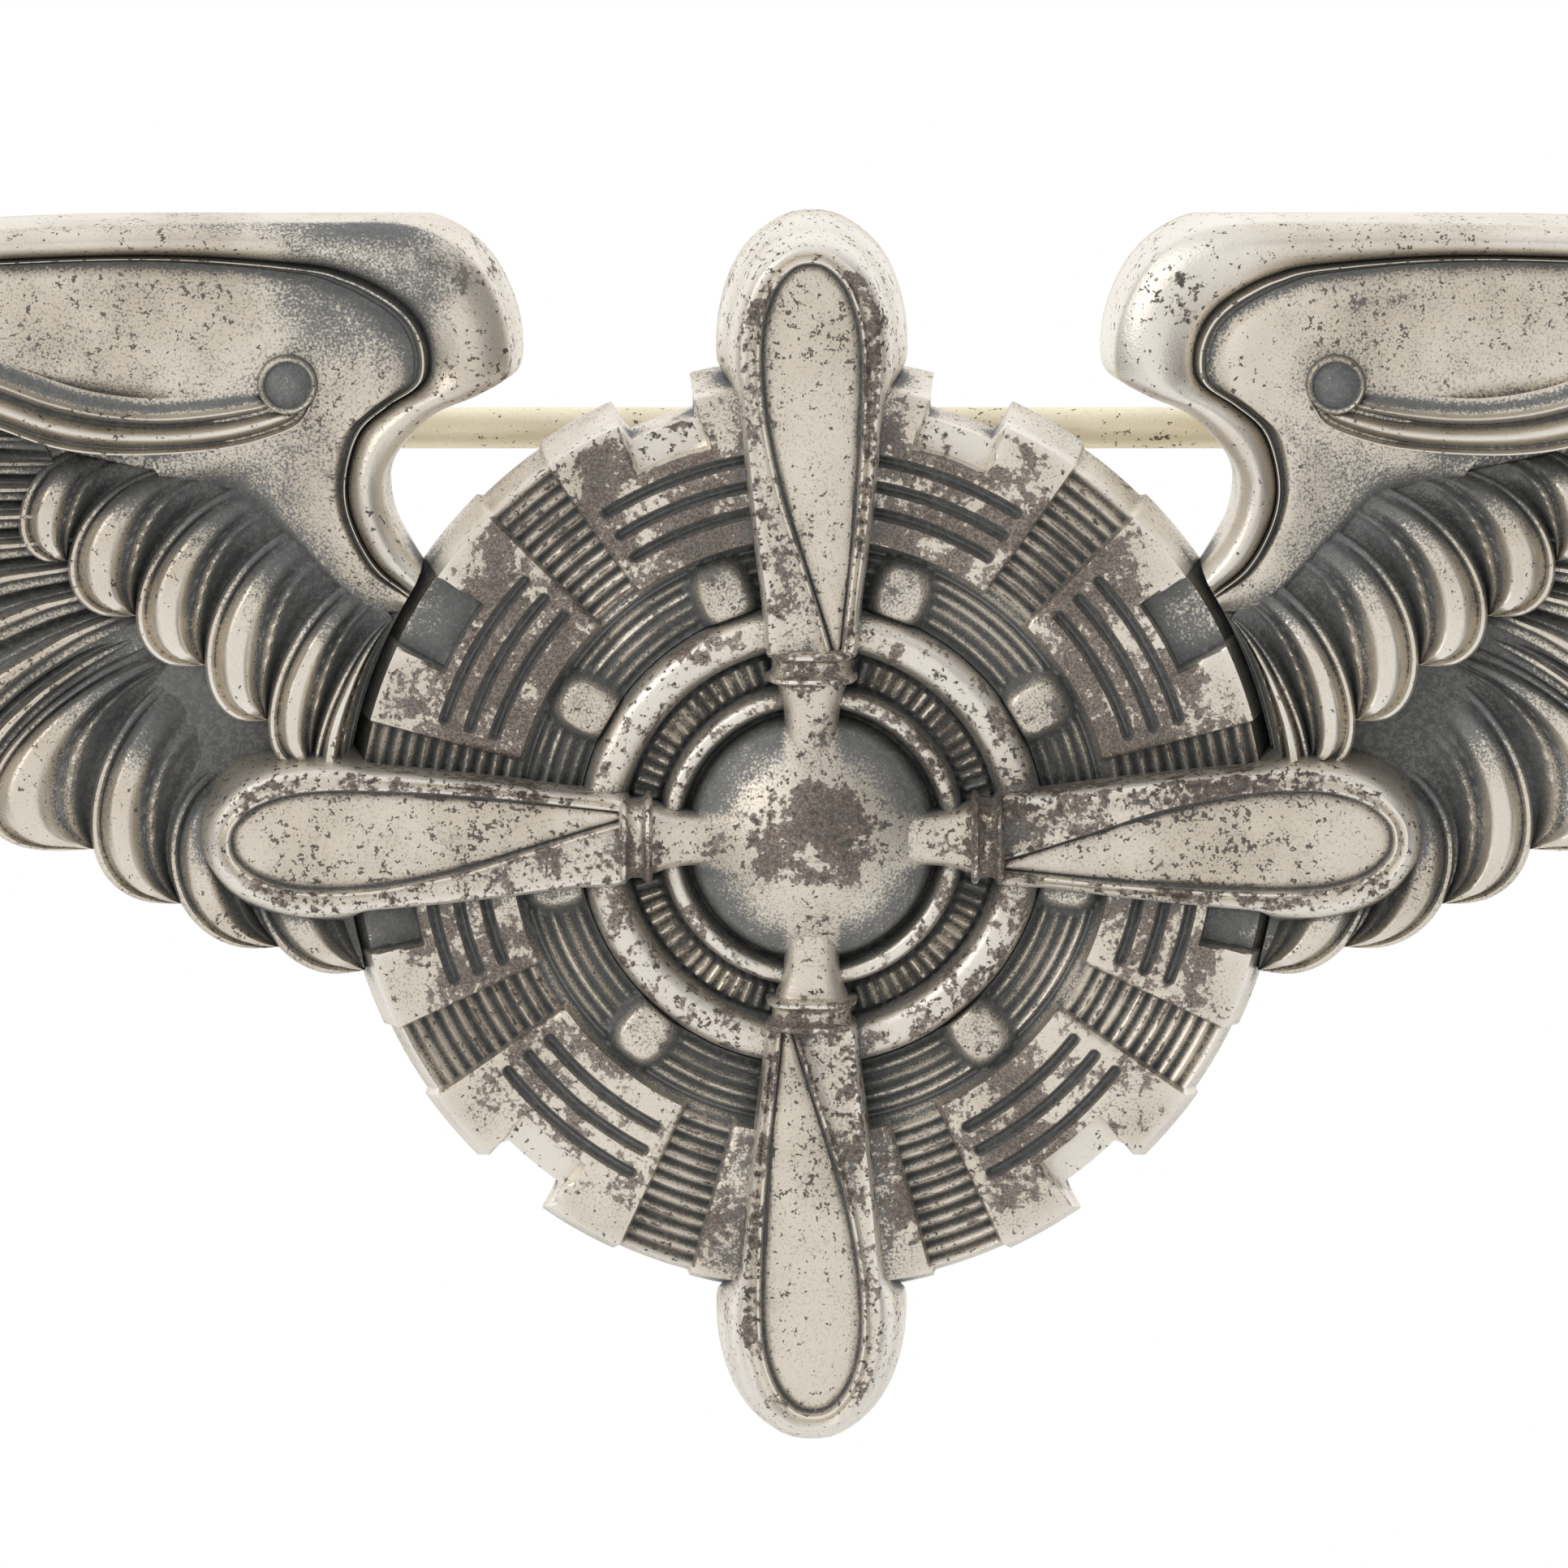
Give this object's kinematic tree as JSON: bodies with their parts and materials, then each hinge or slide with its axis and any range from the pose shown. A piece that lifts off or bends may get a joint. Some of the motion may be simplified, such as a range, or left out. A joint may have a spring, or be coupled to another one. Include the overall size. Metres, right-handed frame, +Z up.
{
  "type": "aircrew wings pin",
  "caption": "Silver aircrew wings badge with a radial engine and four-blade propeller, and a hinged pin with a safety catch behind.",
  "frame": {"origin": "engine centre on the flat back of the badge", "axes": "+X along the span to the wing on the right as seen from the front, -Y out of the front, +Z up as worn"},
  "size_m": [0.0762, 0.0071, 0.027],
  "materials": {
    "sterling_silver": "worn antique silver, bright on the crests",
    "oxidised_silver": "oxidised silver, dark in the recesses",
    "nickel_silver": "smooth drawn wire and stamped strip"
  },
  "bodies": {
    "badge": {"left_wing": "sterling_silver", "right_wing": "sterling_silver", "engine_disc": "oxidised_silver", "propeller": "sterling_silver", "hinge_pad": "sterling_silver", "hinge_bracket": "nickel_silver", "hinge_rivet": "nickel_silver", "catch_pad": "sterling_silver", "catch_housing": "nickel_silver"},
    "stem": {"pin_stem": "nickel_silver"},
    "rotor": {"catch_rotor": "nickel_silver"}
  },
  "joints": [
    {"name": "stem_hinge", "type": "hinge", "parent": "badge", "child": "stem", "pos_m": [-0.0155, 0.0023, 0.0084], "axis": [0, 0, 1], "range_deg": [0, 95]},
    {"name": "catch_turn", "type": "hinge", "parent": "badge", "child": "rotor", "pos_m": [0.0135, 0.0023, 0.0084], "axis": [-1, 0, 0], "range_deg": [0, 110]}
  ]
}
